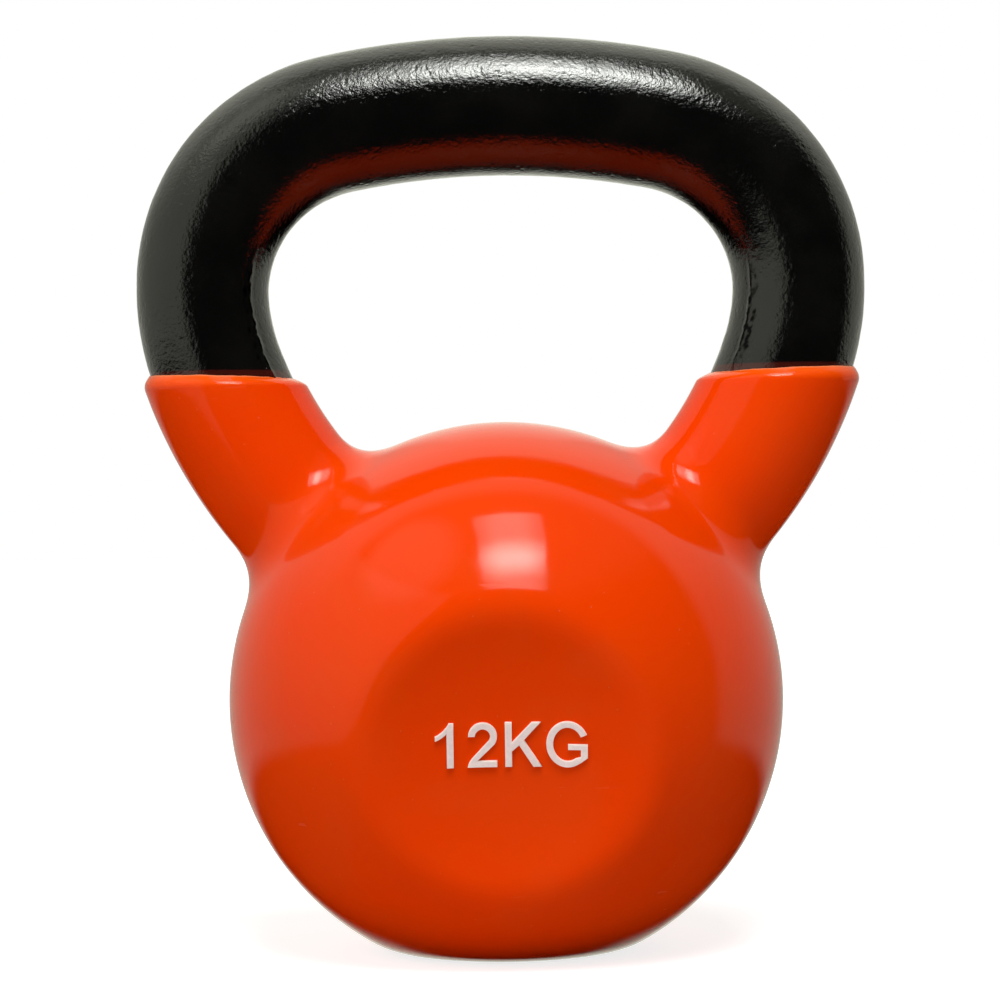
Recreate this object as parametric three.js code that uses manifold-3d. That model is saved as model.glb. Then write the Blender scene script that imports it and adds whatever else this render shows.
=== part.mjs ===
// A 12 kg kettlebell. Bell, horns and handle are one grey iron casting. The bare handle has a
// black baked enamel coat, the bell is dipped up to the horns in orange vinyl, and the weight
// stands in raised figures on the dished front face.
// Millimetres. Z is up from the flat base, X runs along the handle, and the marked face is -Y.

import * as THREE from 'three';
import Module from 'manifold-3d';
import { LoftGeometry } from 'three/addons/geometries/LoftGeometry.js';
import { mergeVertices } from 'three/addons/utils/BufferGeometryUtils.js';

const DEGREE = Math.PI / 180;

// Bell
const ballRadius = 69;
const ballHeight = 64.8; // centre above the floor
const baseEdge = 3; // rounding where the flat base meets the ball
const dishWidth = 71.5; // across the dish on the front, and the one on the back
const dishDepth = 4.5;
const dishTilt = 9.5 * DEGREE; // the dishes look slightly downwards
const dishEdge = 3.5; // blend between a dish and the ball

// Handle: bends of its centre line, from the middle of the grip down into the bell
const handleTop = 218; // height of the centre line
const bends = [
  { radius: 211, sweep: 11.4 * DEGREE }, // grip
  { radius: 44.2, sweep: 82.1 * DEGREE }, // shoulder
  { radius: 58.7, sweep: 14.7 * DEGREE }, // horn
  { radius: 108.5, sweep: 40 * DEGREE }, // root, which runs on inside the ball
];
const gripRadius = 18.2;
const hornRadius = 17.1;
const taperStart = 172; // the bar thickens from here ...
const taperEnd = 213; // ... to here
const hornFillet = 9.8; // blend between the horns and the ball

// Coats
const coatGap = 0.3;
const enamelThickness = 0.2;
const vinylThickness = 2.7;
const vinylTop = 149.5; // the dip line on both horns
const lipRadius = 2.2;

// Weight mark
const figureHeight = 11.1;
const figureThickness = 0.6;
const figureSpacing = [3.3, 1.9, 1.05]; // clear space after each figure but the last
const markShift = 1; // middle of the mark, to the right of the middle of the dish ...
const markRise = 1.9; // ... and above it

// Fineness of the faceted surfaces
const ringPoints = 40;
const bellSlices = 22; // from the middle of the base to the dip line
const hornSlices = 3;
const shoulderSlices = 10;
const gripSlices = 4;
const lipSteps = 4;
const curvePoints = 14;

// Depth of each surface: 0 is the face of the enamel, and more is further out
const ironLevel = -enamelThickness - coatGap;
const enamelInside = -enamelThickness;
const vinylInside = ironLevel + coatGap;
const vinylOutside = vinylThickness;
const overshoot = 2; // how far a hollow is cut past the end of its coat

// ---- Shape of the casting, as a distance from its skin ----

function smoothLower(a, b, blend) {
  const overlap = Math.max(blend - Math.abs(a - b), 0) / blend;
  return Math.min(a, b) - overlap * overlap * blend / 4;
}

function smoothHigher(a, b, blend) {
  return -smoothLower(-a, -b, blend);
}

function traceHandle() {
  const arcs = [];
  let x = 0;
  let z = handleTop;
  let heading = 0; // clockwise from +X
  for (const { radius, sweep } of bends) {
    const centreX = x - radius * Math.sin(heading);
    const centreZ = z - radius * Math.cos(heading);
    arcs.push({ centreX, centreZ, radius, from: heading, to: heading + sweep });
    heading += sweep;
    x = centreX + radius * Math.sin(heading);
    z = centreZ + radius * Math.cos(heading);
  }
  return arcs;
}

const handleArcs = traceHandle();

function handleDistance(x, y, z) {
  const side = Math.abs(x);
  let nearest = Infinity;
  for (const { centreX, centreZ, radius, from, to } of handleArcs) {
    const turn = THREE.MathUtils.clamp(Math.atan2(side - centreX, z - centreZ), from, to);
    const acrossX = side - centreX - radius * Math.sin(turn);
    const acrossZ = z - centreZ - radius * Math.cos(turn);
    nearest = Math.min(nearest, Math.hypot(acrossX, acrossZ, y));
  }
  const barRadius = THREE.MathUtils.mapLinear(
    THREE.MathUtils.clamp(z, taperStart, taperEnd), taperStart, taperEnd, hornRadius, gripRadius);
  return nearest - barRadius;
}

// Each dish is the print of a large sphere, sized on the outside of the vinyl
const rimRadius = ballRadius + vinylOutside;
const dishFloor = Math.sqrt(rimRadius ** 2 - (dishWidth / 2) ** 2) - dishDepth;
const dishCurve = ((dishWidth / 2) ** 2 + dishDepth ** 2) / (2 * dishDepth);

function dishDistance(x, y, z) {
  const reach = dishFloor + dishCurve;
  const depth = Math.abs(y) - reach * Math.cos(dishTilt);
  const drop = z - ballHeight + reach * Math.sin(dishTilt);
  return dishCurve + vinylOutside - Math.hypot(x, depth, drop);
}

function castingDistance(x, y, z) {
  const sphere = Math.hypot(x, y, z - ballHeight) - ballRadius;
  const flatBase = vinylOutside - z;
  const dished = smoothHigher(sphere, dishDistance(x, y, z), dishEdge);
  const ball = smoothHigher(dished, flatBase, baseEdge);
  return smoothLower(ball, handleDistance(x, y, z), hornFillet);
}

// ---- Slices round the loop of bell and handle ----

// Walks a straight line until it meets the surface at a level: inwards (-1) or outwards (1)
function walk(start, direction, level, sense) {
  const point = start.clone();
  for (let step = 0; step < 400; step++) {
    const gap = (level - castingDistance(point.x, point.y, point.z)) * sense;
    point.addScaledVector(direction, gap);
    if (Math.abs(gap) < 1e-5) break;
  }
  return point;
}

// A slice is a plane through the Y axis direction and the line from an anchor in the window
function slice(anchorX, anchorZ, rise) {
  const outward = new THREE.Vector3(Math.cos(rise), 0, Math.sin(rise));
  const anchor = new THREE.Vector3(anchorX, 0, anchorZ);
  const inner = walk(anchor, outward, 0, -1);
  const outer = walk(inner.clone().addScaledVector(outward, hornRadius), outward, 0, 1);
  const middle = inner.clone().add(outer).divideScalar(2);
  return { outward, middle };
}

function ring({ outward, middle }, level) {
  const points = [];
  for (let index = 0; index < ringPoints; index++) {
    const angle = index / ringPoints * 2 * Math.PI;
    const direction = outward.clone().multiplyScalar(Math.cos(angle));
    direction.y = Math.sin(angle);
    const point = walk(middle, direction, level, 1);
    point.x = Math.abs(outward.x) < 1e-9 ? 0 : point.x;
    points.push(point);
  }
  return points;
}

function raised(plane, height) {
  const middle = plane.middle.clone();
  middle.z = height;
  return { outward: plane.outward, middle };
}

// From the middle of the base to the dip line, where the slices lie level
const windowFloorZ = 152;
const bellPlanes = [];
for (let index = 0; index <= bellSlices; index++) {
  const part = index / bellSlices;
  const anchorZ = THREE.MathUtils.lerp(windowFloorZ, vinylTop, part);
  bellPlanes.push(slice(0, anchorZ, (part - 1) * Math.PI / 2));
}
const dipPlane = bellPlanes[bellSlices];

// From the dip line up the horn, round the shoulder and along the grip to its middle
const [gripArc, shoulderArc] = handleArcs;
const handlePlanes = [];
for (let index = 1; index <= hornSlices; index++) {
  const height = THREE.MathUtils.lerp(vinylTop, shoulderArc.centreZ, index / hornSlices);
  handlePlanes.push(slice(0, height, 0));
}
for (let index = 1; index <= shoulderSlices; index++) {
  const rise = index / shoulderSlices * (Math.PI / 2 - shoulderArc.from);
  handlePlanes.push(slice(shoulderArc.centreX, shoulderArc.centreZ, rise));
}
for (let index = 1; index <= gripSlices; index++) {
  const rise = Math.PI / 2 - gripArc.to * (1 - index / gripSlices);
  const window = shoulderArc.radius; // below the grip's centre line, clear of the bar
  const anchorX = gripArc.centreX + (gripArc.radius - window) * Math.cos(rise);
  const anchorZ = gripArc.centreZ + (gripArc.radius - window) * Math.sin(rise);
  handlePlanes.push(slice(anchorX, anchorZ, rise));
}

// ---- Bodies ----

function mirrored(points) {
  return points.map((point) => new THREE.Vector3(-point.x, point.y, point.z));
}

// Right-hand rings that start on the middle plane, doubled to run from left to right
function bothSides(rings) {
  return [...rings.slice(1).reverse().map(mirrored), ...rings];
}

function welded(loft) {
  const surface = new THREE.BufferGeometry();
  surface.setIndex(loft.getIndex());
  surface.setAttribute('position', loft.getAttribute('position'));
  return mergeVertices(surface);
}

const wasm = await Module();
wasm.setup();

function cappedSolid(rings) {
  const surface = welded(new LoftGeometry(rings, { capStart: true, capEnd: true }));
  return new wasm.Manifold(new wasm.Mesh({
    numProp: 3,
    vertProperties: surface.getAttribute('position').array,
    triVerts: surface.getIndex().array,
  }));
}

// What is left of the solid through the outer rings when the one through the inner is taken out
function hollow(outerRings, innerRings) {
  const mesh = cappedSolid(outerRings).subtract(cappedSolid(innerRings)).getMesh();
  const shell = new THREE.BufferGeometry();
  shell.setIndex(new THREE.BufferAttribute(mesh.triVerts, 1));
  shell.setAttribute('position', new THREE.BufferAttribute(mesh.vertProperties, 3));
  return shell;
}

function ironCasting() {
  const planes = [...bellPlanes, ...handlePlanes];
  const right = planes.map((plane) => ring(plane, ironLevel));
  const left = right.slice(0, -1).reverse().map(mirrored);
  return welded(new LoftGeometry([...right, ...left]));
}

function vinylSleeve() {
  const below = bellPlanes.slice(0, -1);
  const outer = below.map((plane) => ring(plane, vinylOutside));
  for (let step = 0; step <= lipSteps; step++) {
    const turn = step / lipSteps * Math.PI / 2;
    const height = vinylTop - lipRadius * (1 - Math.sin(turn));
    outer.push(ring(raised(dipPlane, height), vinylOutside - lipRadius * (1 - Math.cos(turn))));
  }
  const through = [...bellPlanes, raised(dipPlane, vinylTop + overshoot)];
  const inner = through.map((plane) => ring(plane, vinylInside));
  return hollow(bothSides(outer), bothSides(inner));
}

function handleEnamel() {
  const fromTop = handlePlanes.slice().reverse();
  const outer = [...fromTop, raised(dipPlane, vinylTop + coatGap)].map((plane) => ring(plane, 0));
  const through = [...fromTop, raised(dipPlane, vinylTop - overshoot)];
  const inner = through.map((plane) => ring(plane, enamelInside));
  return hollow(bothSides(outer).reverse(), bothSides(inner).reverse());
}

// ---- Raised figures, plain block forms drawn from their lower left corner ----

const stroke = 1.75;

function figureOne() {
  const width = 4.5;
  const outline = new THREE.Shape();
  outline.moveTo(width - stroke, 0);
  outline.lineTo(width, 0);
  outline.lineTo(width, figureHeight);
  outline.lineTo(3.5, figureHeight);
  outline.quadraticCurveTo(2.4, 9.1, 0, 8.1);
  outline.lineTo(0, 6.8);
  outline.quadraticCurveTo(1.6, 7.4, width - stroke, 8.6);
  outline.closePath();
  return { outline, width };
}

function figureTwo() {
  const width = 7.2;
  const bowl = 3.5;
  const bowlX = 3.7;
  const bowlY = figureHeight - bowl;
  const bowlEnd = -35 * DEGREE;
  const foot = 1.6;
  const outline = new THREE.Shape();
  outline.moveTo(0, 0);
  outline.lineTo(width, 0);
  outline.lineTo(width, foot);
  outline.lineTo(2.4, foot);
  outline.absarc(bowlX, bowlY, bowl, bowlEnd, Math.PI, false);
  outline.absarc(bowlX, bowlY, bowl - stroke, Math.PI, bowlEnd, true);
  outline.lineTo(1, 2.1);
  outline.lineTo(0.3, 1);
  outline.closePath();
  return { outline, width };
}

function letterK() {
  const width = 8.9;
  const outline = new THREE.Shape();
  outline.moveTo(0, 0);
  outline.lineTo(stroke, 0);
  outline.lineTo(stroke, 3.8);
  outline.lineTo(3.4, 5.3);
  outline.lineTo(width - 2.1, 0);
  outline.lineTo(width, 0);
  outline.lineTo(4.6, 6.6);
  outline.lineTo(width - 0.2, figureHeight);
  outline.lineTo(width - 2.4, figureHeight);
  outline.lineTo(stroke, 6);
  outline.lineTo(stroke, figureHeight);
  outline.lineTo(0, figureHeight);
  outline.closePath();
  return { outline, width };
}

function letterG() {
  const width = 10;
  const wide = 5.15;
  const tall = 5.7;
  const middle = figureHeight / 2;
  const opening = 25 * DEGREE;
  const corner = -58 * DEGREE;
  const outline = new THREE.Shape();
  outline.absellipse(wide, middle, wide, tall, opening, 2 * Math.PI + corner, false);
  outline.lineTo(width, 1.6);
  outline.lineTo(width, middle);
  outline.lineTo(wide + 0.1, middle);
  outline.lineTo(wide + 0.1, middle - 1.4);
  outline.lineTo(width - stroke, middle - 1.4);
  outline.lineTo(width - stroke, 2.4);
  outline.absellipse(wide, middle, wide - stroke, tall - 1.55,
    2 * Math.PI + corner, opening, true);
  outline.closePath();
  return { outline, width };
}

// Bends a flat figure onto the front dish: its X goes across, its Y up and its Z outwards
function onDish(geometry) {
  const positions = geometry.getAttribute('position');
  const bend = dishCurve;
  for (let index = 0; index < positions.count; index++) {
    const across = positions.getX(index);
    const up = positions.getY(index);
    const curl = bend - Math.sqrt(bend ** 2 - across ** 2 - up ** 2);
    const out = dishFloor + curl + coatGap + positions.getZ(index);
    const y = -out * Math.cos(dishTilt) - up * Math.sin(dishTilt);
    const z = ballHeight - out * Math.sin(dishTilt) + up * Math.cos(dishTilt);
    positions.setXYZ(index, across, y, z);
  }
  return geometry;
}

const weightMark = [
  { name: 'figure_1', ...figureOne() },
  { name: 'figure_2', ...figureTwo() },
  { name: 'letter_k', ...letterK() },
  { name: 'letter_g', ...letterG() },
];

function figureBody(outline, left) {
  const geometry = new THREE.ExtrudeGeometry(outline, {
    depth: figureThickness,
    curveSegments: curvePoints,
    bevelEnabled: false,
  });
  geometry.translate(left, markRise - figureHeight / 2, 0);
  return onDish(geometry);
}

// ---- Assembly ----

const castIron = new THREE.MeshStandardMaterial({ color: 0x3a3835, roughness: 0.75, metalness: 0.6 });
const blackEnamel = new THREE.MeshStandardMaterial({ color: 0x0b0b0c, roughness: 0.35, metalness: 0.1 });
const orangeVinyl = new THREE.MeshStandardMaterial({ color: 0xe03a06, roughness: 0.25, metalness: 0 });
const whitePaint = new THREE.MeshStandardMaterial({ color: 0xf0cdc4, roughness: 0.45, metalness: 0 });

const kettlebell = new THREE.Group();

function addPiece(name, geometry, material) {
  const piece = new THREE.Mesh(geometry, material);
  piece.name = name;
  geometry.computeVertexNormals();
  kettlebell.add(piece);
}

addPiece('iron_casting', ironCasting(), castIron);
addPiece('handle_enamel', handleEnamel(), blackEnamel);
addPiece('vinyl_sleeve', vinylSleeve(), orangeVinyl);

const markWidth = [...weightMark.map(({ width }) => width), ...figureSpacing]
  .reduce((total, width) => total + width);
let left = markShift - markWidth / 2;
weightMark.forEach(({ name, outline, width }, index) => {
  addPiece(name, figureBody(outline, left), whitePaint.clone());
  left += width + (figureSpacing[index] ?? 0);
});

export default kettlebell;
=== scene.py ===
import math

import bmesh
import bpy
import numpy as np
from mathutils import Matrix, Vector


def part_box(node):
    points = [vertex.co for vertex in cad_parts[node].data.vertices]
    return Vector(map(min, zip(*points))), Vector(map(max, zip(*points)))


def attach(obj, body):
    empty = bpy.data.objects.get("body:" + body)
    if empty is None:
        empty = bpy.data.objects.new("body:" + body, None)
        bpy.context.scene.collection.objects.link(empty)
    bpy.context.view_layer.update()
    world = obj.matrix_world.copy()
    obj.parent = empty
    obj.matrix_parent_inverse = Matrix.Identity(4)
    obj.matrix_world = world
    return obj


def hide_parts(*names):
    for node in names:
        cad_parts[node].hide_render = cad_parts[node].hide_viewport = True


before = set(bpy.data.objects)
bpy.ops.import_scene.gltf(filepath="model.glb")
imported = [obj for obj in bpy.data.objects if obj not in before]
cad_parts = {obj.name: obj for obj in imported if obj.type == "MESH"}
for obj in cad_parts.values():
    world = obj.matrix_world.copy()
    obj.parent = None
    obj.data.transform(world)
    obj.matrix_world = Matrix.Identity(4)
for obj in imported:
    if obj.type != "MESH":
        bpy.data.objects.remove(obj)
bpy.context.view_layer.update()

MM = 0.001

# ---------------------------------------------------------------------------------------------
# Iron casting. Ball, horns and loop handle are poured as one piece of grey iron in a sand mould,
# so its skin keeps the sand's grain. It stays as the CAD has it, hidden inside its two coats.

IRON_DARK = (0.08, 0.075, 0.07, 1)
IRON_LIGHT = (0.14, 0.12, 0.1, 1)


def new_group(name, kind, inputs, outputs):
    group = bpy.data.node_groups.new(name, kind)
    for socket_name, socket_type, value in inputs:
        socket = group.interface.new_socket(socket_name, in_out="INPUT", socket_type=socket_type)
        if value is not None:
            socket.default_value = value
    for socket_name, socket_type in outputs:
        group.interface.new_socket(socket_name, in_out="OUTPUT", socket_type=socket_type)
    start = group.nodes.new("NodeGroupInput")
    end = group.nodes.new("NodeGroupOutput")
    return group, start.outputs, end.inputs


class Wiring:
    """Adds nodes to one tree; an input is given as a number, a vector or another node's output."""

    def __init__(self, tree):
        self.tree = tree

    def add(self, kind, settings=None, **inputs):
        node = self.tree.nodes.new(kind)
        for key, value in (settings or {}).items():
            setattr(node, key, value)
        for key, value in inputs.items():
            self.feed(node.inputs[key.replace("_", " ")], value)
        return node

    def feed(self, socket, value):
        if isinstance(value, bpy.types.NodeSocket):
            self.tree.links.new(value, socket)
        else:
            socket.default_value = value

    def math(self, operation, *values, clamp=False):
        node = self.tree.nodes.new("ShaderNodeMath")
        node.operation = operation
        node.use_clamp = clamp
        for socket, value in zip(node.inputs, values):
            self.feed(socket, value)
        return node.outputs[0]

    def vector(self, operation, *values):
        node = self.tree.nodes.new("ShaderNodeVectorMath")
        node.operation = operation
        for socket, value in zip(node.inputs, values):
            self.feed(socket, value)
        return node.outputs["Value" if operation in ("DOT_PRODUCT", "LENGTH") else "Vector"]

    def ramp(self, value, low, high, to_low=0.0, to_high=1.0, smooth=True):
        node = self.tree.nodes.new("ShaderNodeMapRange")
        node.interpolation_type = "SMOOTHSTEP" if smooth else "LINEAR"
        for key, item in (("Value", value), ("From Min", low), ("From Max", high),
                          ("To Min", to_low), ("To Max", to_high)):
            self.feed(node.inputs[key], item)
        return node.outputs["Result"]

    def blend(self, factor, low, high):
        node = self.tree.nodes.new("ShaderNodeMix")
        node.data_type = "RGBA"
        self.feed(node.inputs[0], factor)
        self.feed(node.inputs[6], low)
        self.feed(node.inputs[7], high)
        return node.outputs[2]


def new_material(name, base, roughness, **fixed):
    material = bpy.data.materials.new(name)
    material.use_nodes = True
    material.diffuse_color = (*base, 1)
    shader = material.node_tree.nodes["Principled BSDF"]
    shader.inputs["Base Color"].default_value = (*base, 1)
    shader.inputs["Roughness"].default_value = roughness
    for key, value in fixed.items():
        shader.inputs[key.replace("_", " ")].default_value = value
    wires = Wiring(material.node_tree)
    place = wires.add("ShaderNodeTexCoord").outputs["Object"]
    return material, shader.inputs, wires, place


def bump(wires, shader, height, strength, distance):
    node = wires.add("ShaderNodeBump", Height=height, Strength=strength, Distance=distance)
    wires.tree.links.new(node.outputs["Normal"], shader["Normal"])


def group_node(wires, group, **inputs):
    node = wires.add("ShaderNodeGroup", {"node_tree": group})
    for key, value in inputs.items():
        wires.feed(node.inputs[key.replace("_", " ")], value)
    return node.outputs


def make_sand_grain():
    """Skin that a sand mould leaves on iron: close lumps, with small pits between them."""
    group, given, result = new_group(
        "sand_grain", "ShaderNodeTree",
        [("Place", "NodeSocketVector", None), ("Grain Size", "NodeSocketFloat", 0.9 * MM),
         ("Pit Size", "NodeSocketFloat", 2.6 * MM)],
        [("Height", "NodeSocketFloat"), ("Pits", "NodeSocketFloat"), ("Blotch", "NodeSocketFloat")])
    wires = Wiring(group)
    grains = wires.math("DIVIDE", 1.0, given["Grain Size"])
    pits = wires.math("DIVIDE", 1.0, given["Pit Size"])
    fine = wires.add("ShaderNodeTexNoise", Vector=given["Place"], Scale=grains, Detail=3.0, Roughness=0.6)
    cells = wires.add("ShaderNodeTexVoronoi", {"feature": "SMOOTH_F1"}, Vector=given["Place"],
                      Scale=pits, Smoothness=0.6)
    hollow = wires.ramp(cells.outputs["Distance"], 0.0, 0.35, 1.0, 0.0)
    broad = wires.add("ShaderNodeTexNoise", Vector=given["Place"], Scale=70.0, Detail=2.0)
    lumps = wires.math("SUBTRACT", fine.outputs["Fac"], wires.math("MULTIPLY", hollow, 0.45))
    wires.feed(result["Height"], lumps)
    wires.feed(result["Pits"], hollow)
    wires.feed(result["Blotch"], wires.ramp(broad.outputs["Fac"], 0.35, 0.65))
    return group


sand_grain = make_sand_grain()

grey_iron, shader, wires, place = new_material("grey_iron", (0.11, 0.1, 0.095), 0.7, Metallic=0.6)
grain = group_node(wires, sand_grain, Place=place)
wires.feed(shader["Base Color"], wires.blend(grain["Blotch"], IRON_DARK, IRON_LIGHT))
wires.feed(shader["Roughness"], wires.ramp(grain["Pits"], 0.0, 1.0, 0.6, 0.85))
bump(wires, shader, grain["Height"], 0.6, 0.3 * MM)

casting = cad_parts["iron_casting"]
casting.data.materials.clear()
casting.data.materials.append(grey_iron)

# ---------------------------------------------------------------------------------------------
# Handle. The bare loop above the dip line: cast bar, thicker in the grip than in the horns, with
# black enamel baked over the sand grain and over the ragged joint line of the mould, which runs
# down the window side of both legs. Just above the dip line the enamel carries a thin dark red
# band: painted shade and a painted reflection of the orange lip.

HANDLE_TOP = 218 * MM            # centre line at the middle of the grip
BENDS = ((211, 11.4), (44.2, 82.1), (58.7, 14.7), (108.5, 40.0))   # radius in mm, sweep in degrees
HORN_RADIUS = 17.04 * MM
GRIP_RADIUS = 18.12 * MM
TAPER = (172 * MM, 213 * MM)
DIP_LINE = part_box("vinyl_sleeve")[1][2]
SEAM_FRONT = 11.9 * MM           # how far to the front of the middle the joint line runs
SEAM_WANDER = 0.9 * MM           # how far it strays from its course
SEAM_JAG = 3 * MM                # size of its jags
SEAM_GAP = 7 * MM                # size of the gaps in it
SEAM_FADE = 25 * MM              # length over which it dies out below its top
LIP_REFLECTION_BAND = (0.3 * MM, 0.9 * MM)   # heights above the dip line where the painted lip reflection fades out
# painted shade and painted reflection of the orange lip, laid on the enamel as dark red
LIP_REFLECTION_RED = (0.045, 0.005, 0.003, 1)
ENAMEL_DARK = (0.0012, 0.0012, 0.0013, 1)
ENAMEL_LIGHT = (0.003, 0.0029, 0.0027, 1)
SEAM_BLACK = (0.0002, 0.0002, 0.0002, 1)
HANDLE_FOOT = 139 * MM           # the coat runs on under the vinyl's lip


def handle_arcs():
    """Centre, radius, start and end heading of each bend, from the grip's middle down the right."""
    arcs = []
    x, z, heading = 0.0, HANDLE_TOP, 0.0
    for size, sweep in BENDS:
        radius = size * MM
        centre = (x - radius * math.sin(heading), z - radius * math.cos(heading))
        end = heading + math.radians(sweep)
        arcs.append((centre, radius, heading, end))
        x = centre[0] + radius * math.sin(end)
        z = centre[1] + radius * math.cos(end)
        heading = end
    return arcs


def handle_line(step):
    """Points of the centre line from the left foot over the grip to the right foot."""
    right = []
    for centre, radius, start, end in handle_arcs():
        count = max(2, round(radius * (end - start) / step))
        for turn in np.linspace(start, end, count, endpoint=False):
            right.append((centre[0] + radius * math.sin(turn), centre[1] + radius * math.cos(turn)))
    right = [point for point in right if point[1] > HANDLE_FOOT]
    left = [(-x, z) for x, z in reversed(right[1:])]
    return [(x, 0.0, z) for x, z in left + right]


def curve_object(name, points, cyclic=False):
    curve = bpy.data.curves.new(name, "CURVE")
    curve.dimensions = "3D"
    spline = curve.splines.new("POLY")
    spline.points.add(len(points) - 1)
    for point, place in zip(spline.points, points):
        point.co = (*place, 1)
    spline.use_cyclic_u = cyclic
    piece = bpy.data.objects.new(name, curve)
    bpy.context.collection.objects.link(piece)
    return piece


def grown(piece, name, group, **values):
    """Runs a Geometry Nodes tree on an object and keeps the result as a plain mesh object."""
    modifier = piece.modifiers.new("tree", "NODES")
    modifier.node_group = group
    for item in group.interface.items_tree:
        if item.in_out == "INPUT" and item.name in values:
            modifier[item.identifier] = values[item.name]
    result = piece.evaluated_get(bpy.context.evaluated_depsgraph_get())
    mesh = bpy.data.meshes.new_from_object(result)
    bpy.data.objects.remove(piece)
    mesh.name = name
    finished = bpy.data.objects.new(name, mesh)
    bpy.context.collection.objects.link(finished)
    return finished


def noise_height(wires, place, size, detail=2.0, roughness=0.5):
    """Noise from about -1 to 1 with features of the given size."""
    scale = wires.math("DIVIDE", 1.0, size)
    noise = wires.add("ShaderNodeTexNoise", Vector=place, Scale=scale, Detail=detail, Roughness=roughness)
    return wires.math("MULTIPLY", wires.math("SUBTRACT", noise.outputs["Fac"], 0.5), 3.0)


def make_cast_bar():
    number = "NodeSocketFloat"
    group, given, result = new_group(
        "cast_bar", "GeometryNodeTree",
        [("Centre Line", "NodeSocketGeometry", None), ("Step", number, 0.6 * MM),
         ("Sides", "NodeSocketInt", 176), ("Horn Radius", number, HORN_RADIUS),
         ("Grip Radius", number, GRIP_RADIUS), ("Taper Start", number, TAPER[0]),
         ("Taper End", number, TAPER[1]), ("Lump Size", number, 5 * MM),
         ("Lump Depth", number, 0.06 * MM), ("Grain Size", number, 1.3 * MM),
         ("Grain Depth", number, 0.045 * MM), ("Seam Height", number, 0.75 * MM),
         ("Seam Width", number, 0.6 * MM), ("Seam Top", number, 190 * MM),
         ("Seam Front", number, SEAM_FRONT),
         ("Window Height", number, 175 * MM), ("Finish", "NodeSocketMaterial", None)],
        [("Bar", "NodeSocketGeometry")])
    wires = Wiring(group)
    line = wires.add("GeometryNodeResampleCurve", {"mode": "LENGTH"}, Curve=given["Centre Line"],
                     Length=given["Step"])
    section = wires.add("GeometryNodeCurvePrimitiveCircle", {"mode": "RADIUS"},
                        Resolution=given["Sides"], Radius=given["Grip Radius"])
    bar = wires.add("GeometryNodeCurveToMesh", Curve=line.outputs["Curve"])
    wires.feed(bar.inputs["Profile Curve"], section.outputs["Curve"])
    bar.inputs["Fill Caps"].default_value = True
    smooth = wires.add("GeometryNodeSetShadeSmooth", Geometry=bar.outputs["Mesh"])

    place = wires.add("GeometryNodeInputPosition").outputs["Position"]
    normal = wires.add("GeometryNodeInputNormal").outputs["Normal"]
    parts = wires.add("ShaderNodeSeparateXYZ", Vector=place).outputs
    thinner = wires.ramp(parts["Z"], given["Taper Start"], given["Taper End"],
                         wires.math("SUBTRACT", given["Horn Radius"], given["Grip Radius"]), 0.0,
                         smooth=False)

    lumps = wires.math("MULTIPLY", noise_height(wires, place, given["Lump Size"]), given["Lump Depth"])
    grain = wires.math("MULTIPLY", noise_height(wires, place, given["Grain Size"], 3.0, 0.6),
                       given["Grain Depth"])

    middle = wires.add("ShaderNodeCombineXYZ", X=0.0, Y=0.0, Z=given["Window Height"]).outputs[0]
    inward = wires.vector("NORMALIZE", wires.vector("SUBTRACT", middle, place))
    inside = wires.ramp(wires.vector("DOT_PRODUCT", normal, inward), 0.2, 0.5)
    ragged = wires.math("MULTIPLY", noise_height(wires, place, SEAM_JAG, 4.0, 0.7), SEAM_WANDER)
    across = wires.math("ADD", parts["Y"], given["Seam Front"])
    away = wires.math("DIVIDE", wires.math("ADD", across, ragged), given["Seam Width"])
    ridge = wires.math("EXPONENT", wires.math("MULTIPLY", wires.math("MULTIPLY", away, away), -1.0))
    broken = wires.ramp(noise_height(wires, place, SEAM_GAP, 2.0, 0.6), -0.8, 0.5, 0.25, 1.0)
    fade = wires.ramp(parts["Z"], wires.math("SUBTRACT", given["Seam Top"], SEAM_FADE),
                      given["Seam Top"], 1.0, 0.0)
    seam = wires.math("MULTIPLY", wires.math("MULTIPLY", ridge, inside),
                      wires.math("MULTIPLY", broken, fade))

    height = wires.math("ADD", wires.math("ADD", lumps, grain),
                        wires.math("ADD", thinner, wires.math("MULTIPLY", seam, given["Seam Height"])))
    offset = wires.add("ShaderNodeVectorMath", {"operation": "SCALE"}, Scale=height)
    wires.feed(offset.inputs[0], normal)
    shaped = wires.add("GeometryNodeSetPosition", Geometry=smooth.outputs["Geometry"],
                       Offset=offset.outputs[0])
    marked = wires.add("GeometryNodeStoreNamedAttribute", {"data_type": "FLOAT", "domain": "POINT"},
                       Geometry=shaped.outputs["Geometry"], Name="seam", Value=seam)
    whole = wires.add("GeometryNodeRealizeInstances", Geometry=marked.outputs["Geometry"])
    finished = wires.add("GeometryNodeSetMaterial", Geometry=whole.outputs["Geometry"],
                         Material=given["Finish"])
    wires.feed(result["Bar"], finished.outputs["Geometry"])
    return group


enamel, shader, wires, place = new_material("black_enamel", (0.0022, 0.0022, 0.0024), 0.09,
                                            Specular_IOR_Level=0.8)
grain = group_node(wires, sand_grain, Place=place)
seam = wires.add("ShaderNodeAttribute", {"attribute_name": "seam"}).outputs["Fac"]
black = wires.blend(grain["Blotch"], ENAMEL_DARK, ENAMEL_LIGHT)
black = wires.blend(wires.ramp(seam, 0.25, 0.6), black, SEAM_BLACK)
height = wires.add("ShaderNodeSeparateXYZ", Vector=place).outputs["Z"]
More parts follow.
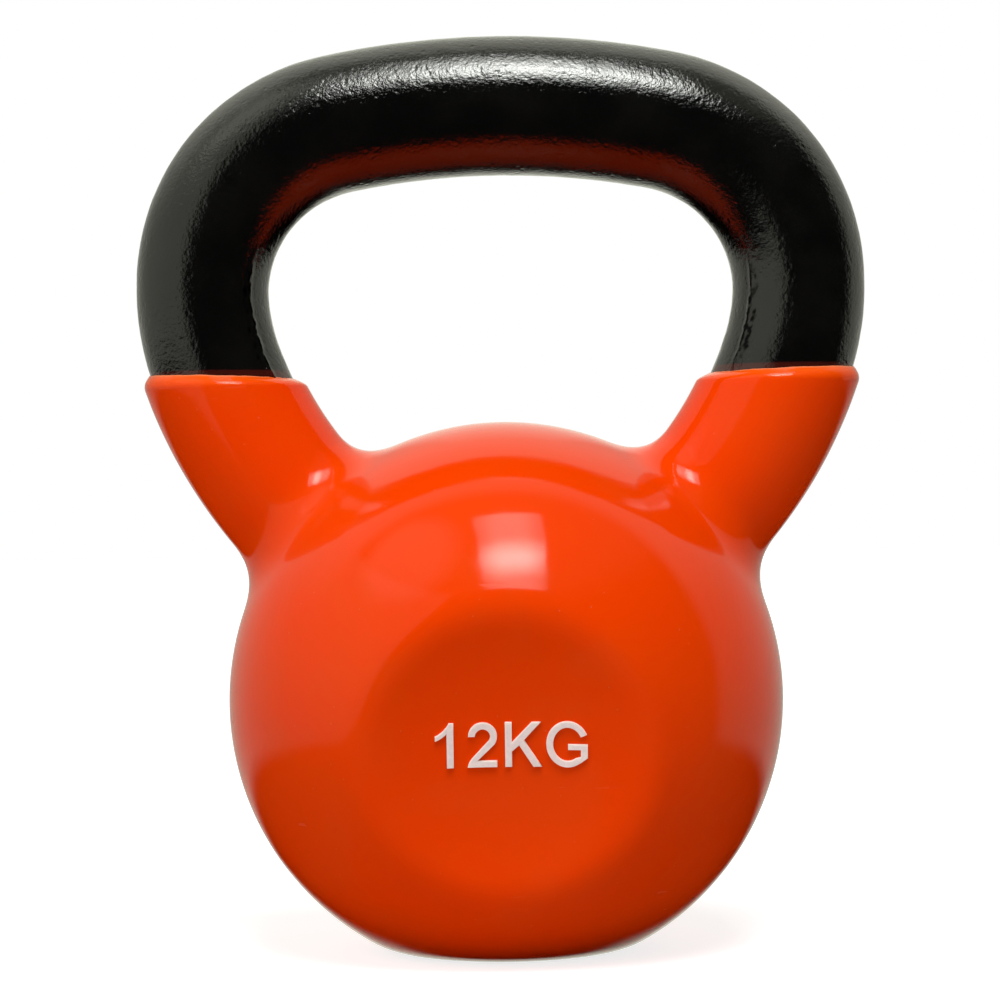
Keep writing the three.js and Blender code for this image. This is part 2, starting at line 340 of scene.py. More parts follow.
# Just above the dip line the enamel is painted dark red: painted shade and a painted reflection of the
# orange lip.
lip_reflection = wires.ramp(height, DIP_LINE + LIP_REFLECTION_BAND[0], DIP_LINE + LIP_REFLECTION_BAND[1], 1.0, 0.0)
wires.feed(shader["Base Color"], wires.blend(lip_reflection, black, LIP_REFLECTION_RED))
rough = wires.math("ADD", wires.ramp(grain["Pits"], 0.0, 1.0, 0.05, 0.11),
                   wires.math("MULTIPLY", seam, 0.1))
wires.feed(shader["Specular IOR Level"], wires.ramp(seam, 0.15, 0.5, 0.8, 0.1))
wires.feed(shader["Roughness"], rough)
bump(wires, shader, grain["Height"], 0.6, 0.22 * MM)

cast_bar = make_cast_bar()
handle = grown(curve_object("handle_line", handle_line(1.5 * MM)), "enamelled_handle", cast_bar,
               Finish=enamel)
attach(handle, "root")
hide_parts("handle_enamel")

# ---------------------------------------------------------------------------------------------
# Vinyl sleeve. The hot casting is dipped bell down in liquid PVC up to a level line on the horns,
# then cured. The coat follows the iron, softens its edges and ends in a rounded lip.

BALL_RADIUS = 69 * MM
BALL_HEIGHT = 64.8 * MM
BASE_EDGE = 3 * MM
DISH_WIDTH = 71.5 * MM
DISH_DEPTH = 4.5 * MM
DISH_TILT = math.radians(9.5)
DISH_EDGE = 3.5 * MM
HORN_FILLET = 9.8 * MM
COAT = 2.5 * MM
COAT_INSIDE = 0.1 * MM
LIP_EDGE = 0.15 * MM             # thickness left at the very top of the lip
LIP_OUTSIDE = 4.2 * MM           # height of the lip's rounding, long on the outer side of a horn
LIP_INSIDE = 2.2 * MM            # and short on the window side
LIP_SLANT = 1.1 * MM             # how much lower the dip line lies on the window side
WINDOW_FLOOR = 152 * MM
LIP_RINGS = 14
LIP_CROWDING = 1.5               # draws the lip's rings together towards its edge
LIP_CLEARANCE = 1 * MM           # between the lip's lowest ring and the rings below it
LIP_NOTCH = 3.5 * MM             # size of the unevenness along the lip
BASE_CALM = (0.5 * MM, 8 * MM)   # heights between which the waves grow in above the base
INSIDE_STRIDE = 4                # the hidden inside keeps one ring in this many
WALK_STEPS = 400
WALK_ERROR = 1e-8
VINYL_DARK = (0.86, 0.048, 0.0, 1)
VINYL_LIGHT = (0.84, 0.053, 0.0004, 1)
VINYL_THIN = (0.9, 0.13, 0.005, 1)
DUST = (0.6, 0.35, 0.25, 1)
# partly the pale cut face of the vinyl, partly a painted highlight where the lip's edge catches the light
LIP_CUT_FACE_AND_GLINT = (0.75, 0.3, 0.14, 1)
RING_POINTS = 256
RINGS = 112                      # from the middle of the base to the dip line


def soft_lower(a, b, reach):
    overlap = np.maximum(reach - np.abs(a - b), 0) / reach
    return np.minimum(a, b) - overlap ** 2 * reach / 4


def bar_distance(x, y, z):
    side = np.abs(x)
    nearest = np.full(np.shape(side), np.inf)
    for (centre_x, centre_z), radius, start, end in handle_arcs():
        turn = np.clip(np.arctan2(side - centre_x, z - centre_z), start, end)
        across = side - centre_x - radius * np.sin(turn)
        along = z - centre_z - radius * np.cos(turn)
        nearest = np.minimum(nearest, np.sqrt(across ** 2 + along ** 2 + y ** 2))
    return nearest - np.interp(z, TAPER, (HORN_RADIUS, GRIP_RADIUS))


rim_radius = BALL_RADIUS + COAT
dish_floor = math.sqrt(rim_radius ** 2 - (DISH_WIDTH / 2) ** 2) - DISH_DEPTH
dish_curve = ((DISH_WIDTH / 2) ** 2 + DISH_DEPTH ** 2) / (2 * DISH_DEPTH)


def iron_distance(x, y, z):
    """Distance outside the casting's skin: ball, dishes, base and horns run softly together."""
    ball = np.sqrt(x ** 2 + y ** 2 + (z - BALL_HEIGHT) ** 2) - BALL_RADIUS
    reach = dish_floor + dish_curve
    depth = np.abs(y) - reach * math.cos(DISH_TILT)
    drop = z - BALL_HEIGHT + reach * math.sin(DISH_TILT)
    dish = dish_curve + COAT - np.sqrt(x ** 2 + depth ** 2 + drop ** 2)
    dished = -soft_lower(-ball, -dish, DISH_EDGE)
    based = -soft_lower(-dished, z - COAT, BASE_EDGE)
    return soft_lower(based, bar_distance(x, y, z), HORN_FILLET)


def walk(start, direction, level, sense):
    """Steps from each start along its direction until the distance is the level."""
    points = np.array(start, dtype=float)
    for _ in range(WALK_STEPS):
        gap = (level - iron_distance(*points.T)) * sense
        points += direction * gap[:, None]
        if np.abs(gap).max() < WALK_ERROR:
            break
    return points


def slices(parts):
    """Middle and outward direction of planes that fan out from the hand window over the bell."""
    rise = (parts - 1) * math.pi / 2
    outward = np.stack([np.cos(rise), np.zeros_like(rise), np.sin(rise)], 1)
    anchor = np.stack([np.zeros_like(parts), np.zeros_like(parts),
                       WINDOW_FLOOR + (DIP_LINE - WINDOW_FLOOR) * parts], 1)
    inner = walk(anchor, outward, 0.0, -1)
    outer = walk(inner + outward * HORN_RADIUS, outward, 0.0, 1)
    return (inner + outer) / 2, outward


ring_angles = np.arange(RING_POINTS) / RING_POINTS * 2 * math.pi


def rings(middle, outward, level, drop=0.0):
    """Closed rings of points at a level; level and drop may differ from point to point."""
    shape = (len(middle), RING_POINTS)
    direction = outward[:, None, :] * np.cos(ring_angles)[None, :, None]
    direction[:, :, 1] = np.sin(ring_angles)[None, :]
    start = np.repeat(middle[:, None, :], RING_POINTS, 1)
    start[:, :, 2] -= drop
    depth = np.broadcast_to(level, shape)
    points = walk(start.reshape(-1, 3), direction.reshape(-1, 3), depth.reshape(-1), 1)
    return points.reshape(-1, RING_POINTS, 3)


def both_sides(right):
    """Rings of the right half, mirrored and joined into one run from left to right."""
    left = right[:0:-1] * (-1, 1, 1)
    return np.concatenate([left, right])


def sleeve_mesh(name):
    """The coat's outside and inside as one closed surface, with nearness to the lip's edge."""
    middle, outward = slices(np.arange(RINGS) / RINGS)
    keep = middle[:, 2] < DIP_LINE - LIP_OUTSIDE - LIP_CLEARANCE
    middle, outward = middle[keep], outward[keep]
    rim_middle, rim_outward = slices(np.array([1.0]))
    facing_out = (1 + np.cos(ring_angles)) / 2
    reach = LIP_INSIDE + (LIP_OUTSIDE - LIP_INSIDE) * facing_out
    slant = LIP_SLANT * (1 - facing_out)
    steps = np.linspace(1, 0, LIP_RINGS)[:, None] ** LIP_CROWDING
    lip_middle = np.repeat(rim_middle, len(steps), 0)
    lip_middle[:, 2] = DIP_LINE
    lip_outward = np.repeat(rim_outward, len(steps), 0)
    lip_level = LIP_EDGE + (COAT - LIP_EDGE) * (1 - (1 - steps) ** 2)
    lip = rings(lip_middle, lip_outward, lip_level, slant + reach * steps)
    outer = np.concatenate([rings(middle, outward, COAT), lip])
    sunk = rings(rim_middle, rim_outward, COAT_INSIDE, slant)
    inner = np.concatenate([rings(middle[::INSIDE_STRIDE], outward[::INSIDE_STRIDE], COAT_INSIDE),
                            sunk])
    loop = np.concatenate([both_sides(outer), both_sides(inner)[::-1]])
    count = len(loop)
    index = np.arange(count * RING_POINTS).reshape(count, RING_POINTS)
    ahead = np.roll(index, -1, 0)
    faces = np.stack([index, np.roll(index, -1, 1), np.roll(ahead, -1, 1), ahead], 2).reshape(-1, 4)
    mesh = bpy.data.meshes.new(name)
    mesh.from_pydata(loop.reshape(-1, 3).tolist(), [], faces.tolist())
    nearness = np.concatenate([np.zeros(len(middle)), 1 - steps[:, 0]])
    along = np.concatenate([nearness[:0:-1], nearness, np.ones(len(inner) * 2 - 1)])
    mesh.attributes.new("lip", "FLOAT", "POINT").data.foreach_set("value", np.repeat(along, RING_POINTS))
    return mesh


def make_dip_surface():
    """Slow waves of a dipped coat, and a lip whose edge sinks unevenly."""
    number = "NodeSocketFloat"
    group, given, result = new_group(
        "dip_surface", "GeometryNodeTree",
        [("Coat", "NodeSocketGeometry", None), ("Wave Size", number, 14 * MM),
         ("Wave Depth", number, 0.025 * MM), ("Lip Unevenness", number, 0.15 * MM),
         ("Finish", "NodeSocketMaterial", None)],
        [("Coat", "NodeSocketGeometry")])
    wires = Wiring(group)
    smooth = wires.add("GeometryNodeSetShadeSmooth", Geometry=given["Coat"])
    place = wires.add("GeometryNodeInputPosition").outputs["Position"]
    normal = wires.add("GeometryNodeInputNormal").outputs["Normal"]
    height = wires.add("ShaderNodeSeparateXYZ", Vector=place).outputs["Z"]
    lip = wires.add("GeometryNodeInputNamedAttribute", {"data_type": "FLOAT"}, Name="lip")
    lip = lip.outputs["Attribute"]
    above_base = wires.ramp(height, *BASE_CALM)
    waves = wires.math("MULTIPLY", noise_height(wires, place, given["Wave Size"], 1.0, 0.4),
                       given["Wave Depth"])
    calm = wires.math("MULTIPLY", waves, wires.math("MULTIPLY", above_base,
                                                    wires.math("SUBTRACT", 1.0, lip)))
    offset = wires.add("ShaderNodeVectorMath", {"operation": "SCALE"}, Scale=calm)
    wires.feed(offset.inputs[0], normal)
    uneven = wires.math("MULTIPLY", noise_height(wires, place, LIP_NOTCH, 2.0, 0.6),
                        given["Lip Unevenness"])
    drop = wires.math("MULTIPLY", wires.math("SUBTRACT", uneven, given["Lip Unevenness"]), lip)
    sunk = wires.add("ShaderNodeCombineXYZ", Z=drop).outputs[0]
    shaped = wires.add("GeometryNodeSetPosition", Geometry=smooth.outputs["Geometry"],
                       Offset=wires.vector("ADD", offset.outputs[0], sunk))
    whole = wires.add("GeometryNodeRealizeInstances", Geometry=shaped.outputs["Geometry"])
    finished = wires.add("GeometryNodeSetMaterial", Geometry=whole.outputs["Geometry"],
                         Material=given["Finish"])
    wires.feed(result["Coat"], finished.outputs["Geometry"])
    return group


def make_handling_marks():
    """Faint smears, dust and fine scratches of a thing that has been picked up and put down."""
    group, given, result = new_group(
        "handling_marks", "ShaderNodeTree",
        [("Place", "NodeSocketVector", None), ("Smear Size", "NodeSocketFloat", 30 * MM)],
        [("Smear", "NodeSocketFloat"), ("Scratch", "NodeSocketFloat"), ("Dust", "NodeSocketFloat")])
    wires = Wiring(group)
    smears = wires.add("ShaderNodeTexNoise", Vector=given["Place"],
                       Scale=wires.math("DIVIDE", 1.0, given["Smear Size"]), Detail=5.0,
                       Roughness=0.65, Distortion=0.6)
    long_way = wires.add("ShaderNodeMapping", Vector=given["Place"], Scale=(60.0, 60.0, 900.0),
                         Rotation=(0.5, 0.9, 0.3))
    lines = wires.add("ShaderNodeTexNoise", Vector=long_way.outputs[0], Scale=1.0, Detail=1.0)
    patches = wires.add("ShaderNodeTexNoise", Vector=given["Place"], Scale=45.0, Detail=0.0)
    scratch = wires.math("MULTIPLY", wires.ramp(lines.outputs["Fac"], 0.70, 0.76),
                         wires.ramp(patches.outputs["Fac"], 0.55, 0.65))
    specks = wires.add("ShaderNodeTexVoronoi", Vector=given["Place"], Scale=220.0)
    dust = wires.ramp(specks.outputs["Distance"], 0.03, 0.06, 1.0, 0.0)
    wires.feed(result["Smear"], wires.ramp(smears.outputs["Fac"], 0.35, 0.7))
    wires.feed(result["Scratch"], scratch)
    wires.feed(result["Dust"], dust)
    return group


handling_marks = make_handling_marks()

vinyl, shader, wires, place = new_material("orange_vinyl", (0.86, 0.05, 0.0), 0.09,
                                           Specular_IOR_Level=0.22)
marks = group_node(wires, handling_marks, Place=place)
lip = wires.add("ShaderNodeAttribute", {"attribute_name": "lip"}).outputs["Fac"]
edge = wires.ramp(lip, 0.85, 1.0)
tint = wires.blend(marks["Smear"], VINYL_DARK, VINYL_LIGHT)
thin = wires.blend(wires.math("MULTIPLY", lip, 0.6), tint, VINYL_THIN)
dusty = wires.blend(wires.math("MULTIPLY", marks["Dust"], 0.15), thin, DUST)
# The lip's very edge turns tan: partly its cut face, partly a painted highlight of the edge catching the
# light.
wires.feed(shader["Base Color"], wires.blend(wires.math("MULTIPLY", edge, 0.55), dusty, LIP_CUT_FACE_AND_GLINT))
rough = wires.math("ADD", wires.ramp(marks["Smear"], 0.0, 1.0, 0.07, 0.13),
                   wires.math("MULTIPLY", marks["Scratch"], 0.2))
wires.feed(shader["Roughness"], wires.math("ADD", rough, wires.math("MULTIPLY", edge, 0.3)))
ripple = wires.add("ShaderNodeTexNoise", Vector=place, Scale=160.0, Detail=2.0, Roughness=0.5)
level = wires.add("ShaderNodeMapping", Vector=place, Scale=(60.0, 60.0, 650.0)).outputs[0]
runs = wires.add("ShaderNodeTexNoise", Vector=level, Scale=1.0, Detail=2.0, Roughness=0.5)
dents = wires.math("SUBTRACT", ripple.outputs["Fac"], wires.math("MULTIPLY", marks["Scratch"], 0.6))
dents = wires.math("ADD", dents, wires.math("MULTIPLY", runs.outputs["Fac"], 0.5))
bump(wires, shader, dents, 0.12, 0.12 * MM)

sleeve = bpy.data.objects.new("dip_mesh", sleeve_mesh("dip_mesh"))
bpy.context.collection.objects.link(sleeve)
sleeve = grown(sleeve, "dipped_vinyl", make_dip_surface(), Finish=vinyl)
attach(sleeve, "root")
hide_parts("vinyl_sleeve")

# ---------------------------------------------------------------------------------------------
# Weight mark. Four plain block figures stand up from the front dish. They are moulded with the
# coat and their faces are rolled with pinkish white paint. Each face has a lighter border, a painted
# highlight where its rounded edge catches the light.

FIGURE_HEIGHT = 11.1             # the outlines are drawn in mm from their lower left corner
STROKE = 1.68
FIGURE_SPACING = (3.3, 1.9, 1.05)
MARK_MIDDLE = (1.0, 1.9)         # to the right of and above the middle of the dish
FIGURE_RISE = 0.86 * MM          # above the dish
FIGURE_ROOT = 0.14 * MM          # sunk into the coat, so that no gap shows
FIGURE_ROUNDING = 0.16 * MM
FIGURE_WELD = 0.002 * MM         # corners closer than this become one
PAINT_DARK = (0.9, 0.74, 0.76, 1)
PAINT_LIGHT = (0.98, 0.8, 0.8, 1)
# painted highlight: each face is painted lighter along its border, as its rounded edge catching the light
PAINT_BORDER_HIGHLIGHT = (1.0, 0.85, 0.79, 1)


def arc(centre, radii, start, end, count=28):
    """Points of an elliptic arc, from and to an angle in degrees."""
    turns = np.radians(np.linspace(start, end, count))
    return [(centre[0] + radii[0] * math.cos(turn), centre[1] + radii[1] * math.sin(turn))
            for turn in turns]


def bow(start, pull, end, count=10):
    """Points of a quadratic curve from start to end, drawn towards pull on the way."""
    steps = np.linspace(0, 1, count)[:, None]
    start, pull, end = np.array(start), np.array(pull), np.array(end)
    points = (1 - steps) ** 2 * start + 2 * (1 - steps) * steps * pull + steps ** 2 * end
    return [tuple(point) for point in points]


def figure_one():
    width = 4.5
    flag = bow((3.4, FIGURE_HEIGHT), (2.2, 8.9), (0, 7.9))
    under = bow((0, 6.7), (1.6, 7.2), (width - STROKE, 8.5))
    return [(width - STROKE, 0), (width, 0), (width, FIGURE_HEIGHT)] + flag + under, width


def figure_two():
    width, foot, bowl = 7.2, 1.6, 3.5
    centre = (3.7, FIGURE_HEIGHT - bowl)
    outside = arc(centre, (bowl, bowl), -35, 180)
    inside = arc(centre, (bowl - STROKE, bowl - STROKE), 180, -35)
    foot_line = [(0, 0), (width, 0), (width, foot), (2.4, foot)]
    return foot_line + outside + inside + [(1, 2.1), (0.3, 1)], width


def letter_k():
    width = 8.9
    points = [(0, 0), (STROKE, 0), (STROKE, 3.8), (3.4, 5.3), (width - 2.1, 0), (width, 0), (4.6, 6.6),
              (width - 0.2, FIGURE_HEIGHT), (width - 2.4, FIGURE_HEIGHT), (STROKE, 6),
              (STROKE, FIGURE_HEIGHT), (0, FIGURE_HEIGHT)]
    return points, width


def letter_g():
    width, wide, tall = 10, 5.15, 5.7
    middle = FIGURE_HEIGHT / 2
    shelf = middle - 1.4
    outside = arc((wide, middle), (wide, tall), 25, 296, 48)
    inside = arc((wide, middle), (wide - STROKE, tall - 1.55), 302, 25, 48)
    bar = [(8.5, 1.1), (width, 2.2), (width, middle), (wide + 0.1, middle), (wide + 0.1, shelf),
           (width - STROKE, shelf), (width - STROKE, 2.4)]
    return outside + bar + inside, width


def make_raised_figure():
    """Bends a flat figure onto the dish and marks how near each point is to the outline."""
    number = "NodeSocketFloat"
    group, given, result = new_group(
        "raised_figure", "GeometryNodeTree",
        [("Figure", "NodeSocketGeometry", None), ("Outline", "NodeSocketObject", None),
         ("Dish Curve", number, dish_curve), ("Dish Floor", number, dish_floor),
         ("Dish Tilt", number, DISH_TILT), ("Dish Height", number, BALL_HEIGHT),
         ("Border", number, 0.5 * MM), ("Finish", "NodeSocketMaterial", None)],
        [("Figure", "NodeSocketGeometry")])
    wires = Wiring(group)
    fine = wires.add("GeometryNodeSubdivideMesh", Mesh=given["Figure"], Level=2)
    place = wires.add("GeometryNodeInputPosition").outputs["Position"]
    parts = wires.add("ShaderNodeSeparateXYZ", Vector=place).outputs
    flat = wires.add("ShaderNodeCombineXYZ", X=parts["X"], Y=parts["Y"]).outputs[0]
    drawn = wires.add("GeometryNodeObjectInfo", Object=given["Outline"])
    border = wires.add("GeometryNodeCurveToMesh", Curve=drawn.outputs["Geometry"])
    near = wires.add("GeometryNodeProximity", {"target_element": "EDGES"})
    wires.feed(near.inputs[0], border.outputs["Mesh"])
    wires.feed(near.inputs["Sample Position"], flat)
    # Nearness to the outline, which carries the painted highlight along each face's border.
    rim = wires.ramp(near.outputs["Distance"], 0.0, given["Border"], 1.0, 0.0)
    marked = wires.add("GeometryNodeStoreNamedAttribute", {"data_type": "FLOAT", "domain": "POINT"},
                       Geometry=fine.outputs["Mesh"], Name="rim", Value=rim)

    aside = wires.math("MULTIPLY", parts["X"], parts["X"])
    upright = wires.math("MULTIPLY", parts["Y"], parts["Y"])
    square = wires.math("SUBTRACT", wires.math("MULTIPLY", given["Dish Curve"], given["Dish Curve"]),
                        wires.math("ADD", aside, upright))
    curl = wires.math("SUBTRACT", given["Dish Curve"], wires.math("SQRT", square))
    out = wires.math("ADD", wires.math("ADD", given["Dish Floor"], curl), parts["Z"])
    cosine = wires.math("COSINE", given["Dish Tilt"])
    sine = wires.math("SINE", given["Dish Tilt"])
    forward = wires.math("ADD", wires.math("MULTIPLY", out, cosine),
                         wires.math("MULTIPLY", parts["Y"], sine))
    rise = wires.math("SUBTRACT", wires.math("MULTIPLY", parts["Y"], cosine),
                      wires.math("MULTIPLY", out, sine))
    bent = wires.add("ShaderNodeCombineXYZ", X=parts["X"], Y=wires.math("MULTIPLY", forward, -1.0),
                     Z=wires.math("ADD", rise, given["Dish Height"])).outputs[0]
    shaped = wires.add("GeometryNodeSetPosition", Geometry=marked.outputs["Geometry"], Position=bent)
    smooth = wires.add("GeometryNodeSetShadeSmooth", Geometry=shaped.outputs["Geometry"])
    whole = wires.add("GeometryNodeRealizeInstances", Geometry=smooth.outputs["Geometry"])
    finished = wires.add("GeometryNodeSetMaterial", Geometry=whole.outputs["Geometry"],
                         Material=given["Finish"])
    wires.feed(result["Figure"], finished.outputs["Geometry"])
    return group


raised_figure = make_raised_figure()


def add_figure(name, node, points, left, finish):
    """Fills the outline as a thick plate with rounded edges, then lays it on the dish."""
    bottom = MARK_MIDDLE[1] - FIGURE_HEIGHT / 2
    drawn = [((x + left) * MM, (y + bottom) * MM, 0.0) for x, y in points]
    outline = curve_object(f"{name}_outline", drawn, cyclic=True)
    plate = curve_object(f"{name}_plate", drawn, cyclic=True)
    shape = plate.data
    shape.dimensions = "2D"
    shape.fill_mode = "BOTH"
    shape.bevel_depth = FIGURE_ROUNDING
    shape.bevel_resolution = 2
    shape.offset = -FIGURE_ROUNDING
    shape.extrude = (FIGURE_RISE + FIGURE_ROOT) / 2 - FIGURE_ROUNDING
    mesh = bpy.data.meshes.new_from_object(plate.evaluated_get(bpy.context.evaluated_depsgraph_get()))
    bpy.data.objects.remove(plate)
    lift = (FIGURE_RISE - FIGURE_ROOT) / 2
    mesh.transform(Matrix.Translation((0, 0, lift)))
    welded = bmesh.new()
    welded.from_mesh(mesh)
    bmesh.ops.remove_doubles(welded, verts=welded.verts, dist=FIGURE_WELD)
    bmesh.ops.recalc_face_normals(welded, faces=welded.faces)
    welded.to_mesh(mesh)
    welded.free()
    flat = bpy.data.objects.new(f"{name}_flat", mesh)
    bpy.context.collection.objects.link(flat)
    figure = grown(flat, name, raised_figure, Outline=outline, Finish=finish)
    bpy.data.objects.remove(outline)
    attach(figure, "root")
    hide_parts(node)


paint, shader, wires, place = new_material("pinkish_paint", (0.8, 0.6, 0.56), 0.45)
rim = wires.add("ShaderNodeAttribute", {"attribute_name": "rim"}).outputs["Fac"]
mottle = wires.add("ShaderNodeTexNoise", Vector=place, Scale=900.0, Detail=3.0, Roughness=0.6)
patchy = wires.ramp(mottle.outputs["Fac"], 0.35, 0.65)
face = wires.blend(patchy, PAINT_DARK, PAINT_LIGHT)
# Painted highlight: the face is painted lighter along its border, where the rounded edge catches the
# light.
wires.feed(shader["Base Color"], wires.blend(rim, face, PAINT_BORDER_HIGHLIGHT))
wires.feed(shader["Roughness"], wires.ramp(patchy, 0.0, 1.0, 0.4, 0.55))
bump(wires, shader, mottle.outputs["Fac"], 0.3, 0.05 * MM)

weight_mark = (("mark_1", "figure_1", *figure_one()), ("mark_2", "figure_2", *figure_two()),
               ("mark_k", "letter_k", *letter_k()), ("mark_g", "letter_g", *letter_g()))
left = MARK_MIDDLE[0] - (sum(width for *_, width in weight_mark) + sum(FIGURE_SPACING)) / 2
for (name, node, points, width), space in zip(weight_mark, (*FIGURE_SPACING, 0)):
    add_figure(name, node, points, left, paint)
    left += width + space

# ---------------------------------------------------------------------------------------------
# Studio. A plain pale floor, which the camera sees run into a white backdrop, and one softbox
# above the front, made of two lamps: one for matt light, one for its mirror image. The world
# shows white walls behind and on the left, dimmer or brighter in gloss than in matt light.

WHITE = (1, 1, 1, 1)
FLOOR_REACH = 6.0
FLOOR_LIFT = (0.8, 1.0)          # brightness added for the camera only, near the bell and far off
FLOOR_BLEND = (0.08, 0.45)       # distances from the bell between which the lift grows
floor_mesh = bpy.data.meshes.new("floor")
floor_mesh.from_pydata([(-FLOOR_REACH, -FLOOR_REACH, 0), (FLOOR_REACH, -FLOOR_REACH, 0),
                        (FLOOR_REACH, FLOOR_REACH, 0), (-FLOOR_REACH, FLOOR_REACH, 0)],
                       [], [(0, 1, 2, 3)])
floor = bpy.data.objects.new("floor", floor_mesh)
bpy.context.collection.objects.link(floor)
pale, shader, wires, place = new_material("pale_floor", (0.6, 0.6, 0.6), 1.0, Specular_IOR_Level=0.0)
seen = wires.add("ShaderNodeLightPath").outputs["Is Camera Ray"]
shader["Emission Strength"].default_value = 1.0
lift = wires.ramp(wires.vector("LENGTH", place), *FLOOR_BLEND, *FLOOR_LIFT)
wires.feed(shader["Emission Color"], wires.math("MULTIPLY", seen, lift))
floor.data.materials.append(pale)
floor.visible_glossy = False


def softbox(name, place, aim, size, power):
    light = bpy.data.lights.new(name, "AREA")
    light.shape = "RECTANGLE"
    light.size, light.size_y = size
    light.energy = power
    lamp = bpy.data.objects.new(name, light)
    bpy.context.collection.objects.link(lamp)
    lamp.location = place
    lamp.rotation_euler = (Vector(aim) - Vector(place)).to_track_quat("-Z", "Y").to_euler()
    return lamp


BELL = (0, 0, 0.1)
GLARE_BAND = 0.4                 # how far across the softbox its brightest band lies
GLARE_TINT = (0.96, 0.98, 0.93)
key_light = softbox("key_light", (0.06, -0.62, 1.24), BELL, (0.52, 0.78), 15.4)
key_light.visible_glossy = False
key_glare = softbox("key_glare", (0.06, -0.55, 1.2), BELL, (0.5, 0.82), 17)
key_glare.visible_diffuse = False
key_glare.data.color = GLARE_TINT
key_glare.data.use_nodes = True
cloth = Wiring(key_glare.data.node_tree)
spot = cloth.add("ShaderNodeNewGeometry").outputs["Parametric"]
spot = cloth.add("ShaderNodeSeparateXYZ", Vector=spot).outputs
band = cloth.math("ABSOLUTE", cloth.math("SUBTRACT", spot["Y"], GLARE_BAND))
aside = cloth.math("ABSOLUTE", cloth.math("SUBTRACT", spot["X"], 0.5))
glare = cloth.math("MULTIPLY", cloth.ramp(band, 0.0, 0.28, 1.8, 0.45),
                   cloth.ramp(aside, 0.15, 0.5, 1.0, 0.45))
cloth.feed(key_glare.data.node_tree.nodes["Emission"].inputs["Strength"], glare)

LEFT_WALL = math.radians(28)     # its near edge, from the camera's direction
WORLD_TINT = (0.97, 0.98, 0.84, 1)
BACK_GLARE = (0.52, 1.0)         # brightness in gloss of the back wall, low and high
FAR_FLOOR_GLARE = 1.0
LEFT_WALL_GLARE = 0.58
FRONT_GLARE = (0.02, 0.25)       # of the dark front, low and overhead
PATCH_GLARE = 0.9
PATCH_DIRECTION = (-0.533, -0.248, 0.809)
PATCH_REACH = (0.93, 0.985)      # cosines of its outer and inner spread
LEFT_WALL_LIGHT = 1.15           # brightness in matt light of the left wall,
BACK_LIGHT = 0.6                 # of the back wall
FRONT_LIGHT = 0.5                # and of a screen round the camera
SCREEN_EDGE = (0.42, 0.52)       # how far to the side that screen reaches
world = bpy.data.worlds.new("studio")
bpy.context.scene.world = world
world.use_nodes = True
sky = Wiring(world.node_tree)
background = world.node_tree.nodes["Background"]
direction = sky.add("ShaderNodeTexCoord").outputs["Generated"]
parts = sky.add("ShaderNodeSeparateXYZ", Vector=direction).outputs
sideways = sky.math("ABSOLUTE", parts["X"])
behind = sky.ramp(parts["Y"], 0.05, 0.2)
in_front = sky.math("SUBTRACT", 1.0, behind)
above_floor = sky.ramp(parts["Z"], -0.26, -0.18)
below_top = sky.math("SUBTRACT", 1.0, sky.ramp(parts["Z"], 0.68, 0.72))
low = sky.math("MULTIPLY", above_floor, below_top)
wall_side = (-math.cos(LEFT_WALL), math.sin(LEFT_WALL), 0)
on_left = sky.ramp(sky.vector("DOT_PRODUCT", direction, wall_side), -0.02, 0.03)
left_wall = sky.math("MULTIPLY", sky.math("MULTIPLY", in_front, on_left), low)

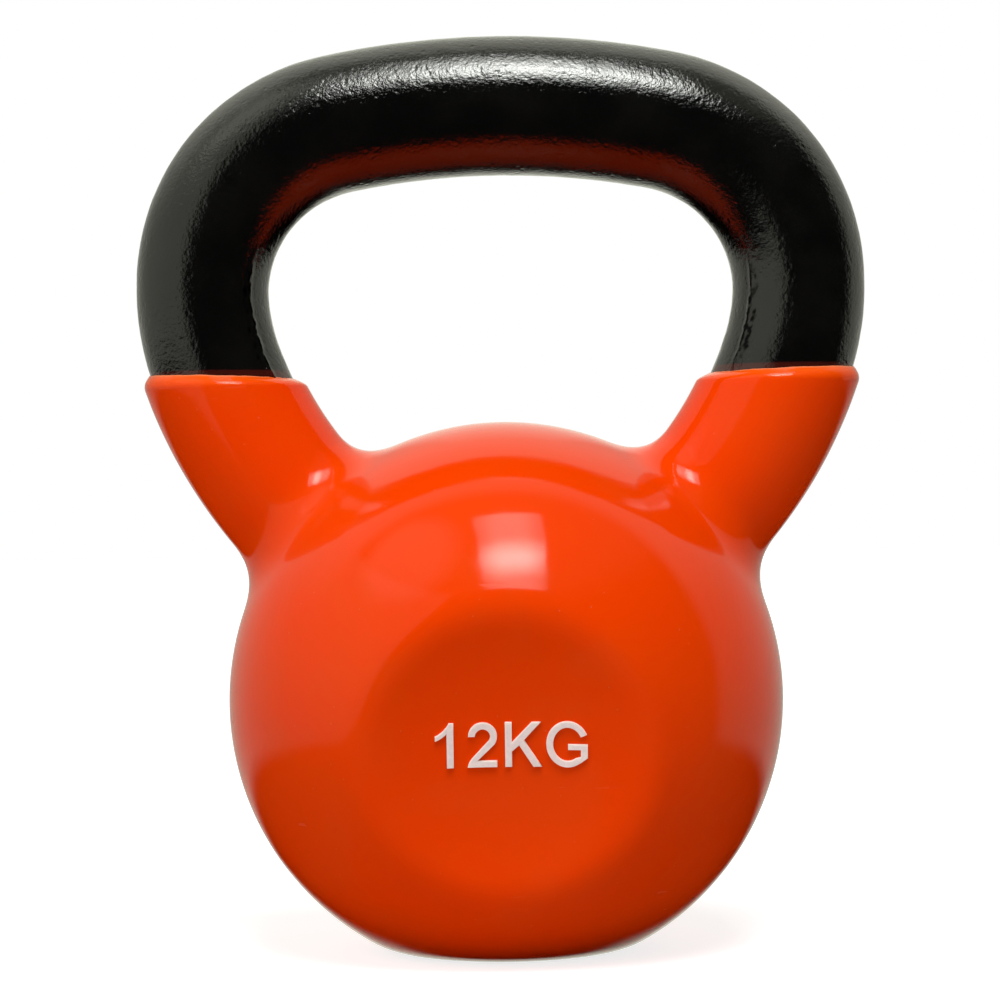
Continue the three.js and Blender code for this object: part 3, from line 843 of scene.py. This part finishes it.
back_glow = sky.math("MULTIPLY", sky.math("MULTIPLY", behind, above_floor),
                     sky.ramp(parts["Z"], 0.3, 0.8, *BACK_GLARE))
far_floor = sky.math("MULTIPLY", sky.ramp(parts["Y"], 0.6, 0.8),
                     sky.ramp(parts["Z"], -0.65, -0.5, 0.0, FAR_FLOOR_GLARE))
far_floor = sky.math("MULTIPLY", far_floor, sky.ramp(sideways, 0.1, 0.3, 1.0, 0.0))
front_glow = sky.math("MULTIPLY", in_front, sky.ramp(parts["Z"], 0.6, 0.8, *FRONT_GLARE))
wall_glow = sky.math("ADD", sky.math("MULTIPLY", left_wall, LEFT_WALL_GLARE), front_glow)
mirrored = sky.math("ADD", sky.math("MAXIMUM", back_glow, far_floor), wall_glow)
soft_patch = sky.ramp(sky.vector("DOT_PRODUCT", direction, PATCH_DIRECTION), *PATCH_REACH)
mirrored = sky.math("ADD", mirrored, sky.math("MULTIPLY", soft_patch, PATCH_GLARE))

screen = sky.math("MULTIPLY", in_front, sky.ramp(sideways, *SCREEN_EDGE, 1.0, 0.0))
around = sky.math("ADD", sky.math("MULTIPLY", behind, BACK_LIGHT),
                  sky.math("MULTIPLY", screen, FRONT_LIGHT))
lighting = sky.math("ADD", sky.math("MULTIPLY", left_wall, LEFT_WALL_LIGHT),
                    sky.math("MULTIPLY", low, around))
rays = sky.add("ShaderNodeLightPath").outputs
glow = sky.ramp(rays["Is Glossy Ray"], 0.0, 1.0, lighting, mirrored, smooth=False)
sky.feed(background.inputs["Strength"], sky.math("MAXIMUM", glow, rays["Is Camera Ray"]))
sky.feed(background.inputs["Color"], sky.blend(rays["Is Camera Ray"], WORLD_TINT, WHITE))

CAMERA_DISTANCE = 0.8345
CAMERA_HEIGHT = 0.1161
VIEW_WIDTH = 0.2591              # width of the view at the middle of the object
CAMERA_ROLL = math.radians(0.8)
SENSOR = 36
camera_data = bpy.data.cameras.new("camera")
camera = bpy.data.objects.new("camera", camera_data)
bpy.context.collection.objects.link(camera)
camera_data.sensor_width = SENSOR
camera_data.lens = SENSOR * CAMERA_DISTANCE / VIEW_WIDTH
camera_data.clip_start = 0.05
camera.location = (-0.9 * MM, -CAMERA_DISTANCE, CAMERA_HEIGHT)
camera.rotation_euler = (math.pi / 2, CAMERA_ROLL, 0)
bpy.context.scene.camera = camera
bpy.context.scene.view_settings.view_transform = "Standard"
